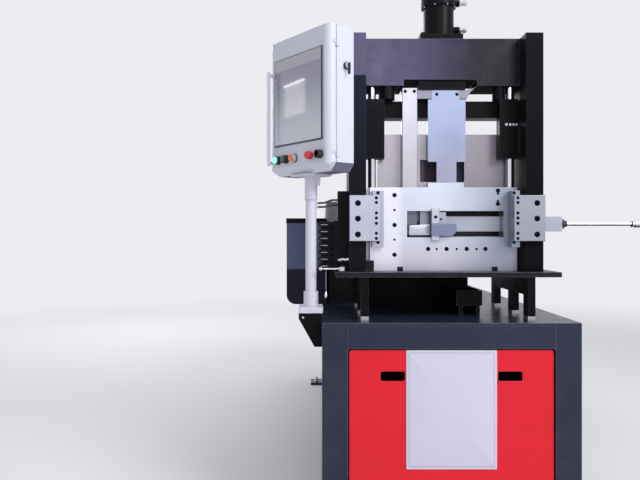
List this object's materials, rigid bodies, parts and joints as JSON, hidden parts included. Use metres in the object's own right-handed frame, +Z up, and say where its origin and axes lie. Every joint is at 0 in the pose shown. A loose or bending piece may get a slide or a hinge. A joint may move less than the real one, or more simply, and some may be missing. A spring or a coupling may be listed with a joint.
{
  "type": "steel framing machine",
  "caption": "Roll forming line for light steel framing studs: base cabinet, forming stations, cut-off press at the exit end and a swivelling control cabinet on a pole.",
  "frame": {"origin": "on the floor at the centre of the four floor anchor holes", "axes": "+Y along the line from the exit end to the entry end, +X to the right seen from the exit end, +Z up"},
  "size_m": [1.6592, 3.06, 2.22],
  "materials": {
    "base_paint": "satin paint",
    "panel_red": "satin paint",
    "side_paint": "satin paint",
    "black_paint": "semi-gloss paint",
    "beam_paint": "satin paint",
    "machined_steel": "ground",
    "tool_steel": "ground and polished",
    "tray_paint": "worn semi-gloss paint",
    "screw_black": "black oxide",
    "ground_post": "polished",
    "roll_steel": "turned and polished",
    "cabinet_paint": "smooth powder coat",
    "pole_paint": "smooth paint",
    "guard_paint": "satin paint",
    "motor_paint": "satin paint",
    "tank_paint": "satin paint",
    "zinc_steel": "zinc plated",
    "lever_steel": "plated",
    "screen_glass": "gloss glass",
    "black_plastic": "moulded",
    "green_plastic": "moulded",
    "dark_plastic": "moulded",
    "orange_plastic": "moulded",
    "stop_red": "moulded",
    "cable_black": "matt sheath"
  },
  "bodies": {
    "frame": {"base_frame": "base_paint", "cabinet_panels": "side_paint", "hydraulic_tank": "tank_paint", "pump_motor": "motor_paint", "deck_plate": "black_paint", "deck_risers": "black_paint", "riser_feet": "zinc_steel", "slug_tray": "tray_paint", "clamp_blocks": "machined_steel", "clamp_screws": "screw_black", "gibs": "machined_steel", "die_spacers": "machined_steel", "guide_posts": "ground_post", "top_beam": "beam_paint", "front_die_plate": "machined_steel", "rear_die_plate": "machined_steel", "lower_die": "tool_steel", "press_cylinder": "black_paint", "roll_stands": "machined_steel", "gearbox": "guard_paint", "drive_guard": "guard_paint", "drive_motor": "motor_paint", "entry_table": "zinc_steel", "pole_bracket": "black_paint", "pole": "pole_paint", "valve_bank": "black_paint", "control_cables": "cable_black", "column_left": "beam_paint", "column_right": "beam_paint"},
    "front_panel": {"front_panel": "panel_red"},
    "press_slide": {"crosshead": "black_paint", "flange_punch": "machined_steel", "crossbar": "machined_steel", "blade_holder": "tool_steel", "press_ram": "black_paint"},
    "width_guide": {"width_guide_bar": "machined_steel", "guide_strip": "machined_steel", "pull_grip": "ground_post"},
    "cabinet": {"swivel": "pole_paint", "cabinet_housing": "cabinet_paint"},
    "door": {"cabinet_door": "cabinet_paint", "screen": "screen_glass", "panel_socket": "black_plastic", "cabinet_handle": "pole_paint"},
    "start_button": {"push_button_1": "green_plastic"},
    "mode_button": {"push_button_2": "dark_plastic"},
    "reset_button": {"push_button_3": "orange_plastic"},
    "stop_button": {"emergency_stop": "stop_red"},
    "lock": {"door_lock": "black_plastic"},
    "lever": {"lever": "lever_steel"},
    "lower_rolls_1": {"lower_roll_shaft_1": "roll_steel"},
    "upper_rolls_1": {"upper_roll_shaft_1": "roll_steel"},
    "lower_rolls_2": {"lower_roll_shaft_2": "roll_steel"},
    "upper_rolls_2": {"upper_roll_shaft_2": "roll_steel"},
    "lower_rolls_3": {"lower_roll_shaft_3": "roll_steel"},
    "upper_rolls_3": {"upper_roll_shaft_3": "roll_steel"},
    "lower_rolls_4": {"lower_roll_shaft_4": "roll_steel"},
    "upper_rolls_4": {"upper_roll_shaft_4": "roll_steel"},
    "lower_rolls_5": {"lower_roll_shaft_5": "roll_steel"},
    "upper_rolls_5": {"upper_roll_shaft_5": "roll_steel"}
  },
  "joints": [
    {"name": "front_panel_pull", "type": "slide", "parent": "frame", "child": "front_panel", "axis": [0, -1, 0], "range_m": [0, 0.25]},
    {"name": "press_stroke", "type": "slide", "parent": "frame", "child": "press_slide", "axis": [0, 0, 1], "range_m": [-0.06, 0]},
    {"name": "guide_travel", "type": "slide", "parent": "frame", "child": "width_guide", "axis": [1, 0, 0], "range_m": [0, 0.21]},
    {"name": "cabinet_swivel", "type": "hinge", "parent": "frame", "child": "cabinet", "pos_m": [-0.5445, -1.37, 1.345], "axis": [0, 0, 1], "range_deg": [-50, 10]},
    {"name": "door_swing", "type": "hinge", "parent": "cabinet", "child": "door", "pos_m": [-0.44303, -1.55026, 1.7], "axis": [0, 0, 1], "range_deg": [0, 100]},
    {"name": "start_button_press", "type": "slide", "parent": "door", "child": "start_button", "axis": [0.7837, 0.6211, 0], "range_m": [0, 0.004], "stiffness_N_per_m": 400},
    {"name": "mode_button_press", "type": "slide", "parent": "door", "child": "mode_button", "axis": [0.7837, 0.6211, 0], "range_m": [0, 0.004], "stiffness_N_per_m": 400},
    {"name": "reset_button_press", "type": "slide", "parent": "door", "child": "reset_button", "axis": [0.7837, 0.6211, 0], "range_m": [0, 0.004], "stiffness_N_per_m": 400},
    {"name": "stop_button_press", "type": "slide", "parent": "door", "child": "stop_button", "axis": [0.7837, 0.6211, 0], "range_m": [0, 0.005], "stiffness_N_per_m": 600},
    {"name": "lock_turn", "type": "hinge", "parent": "cabinet", "child": "lock", "pos_m": [-0.404, -1.5215, 1.85], "axis": [0.6211, -0.7837, 0], "range_deg": [0, 90]},
    {"name": "lever_swing", "type": "hinge", "parent": "frame", "child": "lever", "pos_m": [-0.42, -1.416, 1.067], "axis": [0, 0, 1], "range_deg": [0, 90]},
    {"name": "lower_rolls_1_turn", "type": "hinge", "parent": "frame", "child": "lower_rolls_1", "pos_m": [-0.097, -0.54, 1.12], "axis": [1, 0, 0], "continuous": true},
    {"name": "upper_rolls_1_turn", "type": "hinge", "parent": "frame", "child": "upper_rolls_1", "pos_m": [-0.097, -0.54, 1.2812], "axis": [1, 0, 0], "continuous": true},
    {"name": "lower_rolls_2_turn", "type": "hinge", "parent": "frame", "child": "lower_rolls_2", "pos_m": [-0.097, -0.22, 1.12], "axis": [1, 0, 0], "continuous": true},
    {"name": "upper_rolls_2_turn", "type": "hinge", "parent": "frame", "child": "upper_rolls_2", "pos_m": [-0.097, -0.22, 1.2812], "axis": [1, 0, 0], "continuous": true},
    {"name": "lower_rolls_3_turn", "type": "hinge", "parent": "frame", "child": "lower_rolls_3", "pos_m": [-0.097, 0.1, 1.12], "axis": [1, 0, 0], "continuous": true},
    {"name": "upper_rolls_3_turn", "type": "hinge", "parent": "frame", "child": "upper_rolls_3", "pos_m": [-0.097, 0.1, 1.2812], "axis": [1, 0, 0], "continuous": true},
    {"name": "lower_rolls_4_turn", "type": "hinge", "parent": "frame", "child": "lower_rolls_4", "pos_m": [-0.097, 0.42, 1.12], "axis": [1, 0, 0], "continuous": true},
    {"name": "upper_rolls_4_turn", "type": "hinge", "parent": "frame", "child": "upper_rolls_4", "pos_m": [-0.097, 0.42, 1.2812], "axis": [1, 0, 0], "continuous": true},
    {"name": "lower_rolls_5_turn", "type": "hinge", "parent": "frame", "child": "lower_rolls_5", "pos_m": [-0.097, 0.74, 1.12], "axis": [1, 0, 0], "continuous": true},
    {"name": "upper_rolls_5_turn", "type": "hinge", "parent": "frame", "child": "upper_rolls_5", "pos_m": [-0.097, 0.74, 1.2812], "axis": [1, 0, 0], "continuous": true}
  ],
  "couplings": [
    {"joint": "upper_rolls_1_turn", "follows": "lower_rolls_1_turn", "ratio": -1},
    {"joint": "lower_rolls_2_turn", "follows": "lower_rolls_1_turn", "ratio": 1},
    {"joint": "upper_rolls_2_turn", "follows": "lower_rolls_1_turn", "ratio": -1},
    {"joint": "lower_rolls_3_turn", "follows": "lower_rolls_1_turn", "ratio": 1},
    {"joint": "upper_rolls_3_turn", "follows": "lower_rolls_1_turn", "ratio": -1},
    {"joint": "lower_rolls_4_turn", "follows": "lower_rolls_1_turn", "ratio": 1},
    {"joint": "upper_rolls_4_turn", "follows": "lower_rolls_1_turn", "ratio": -1},
    {"joint": "lower_rolls_5_turn", "follows": "lower_rolls_1_turn", "ratio": 1},
    {"joint": "upper_rolls_5_turn", "follows": "lower_rolls_1_turn", "ratio": -1}
  ]
}
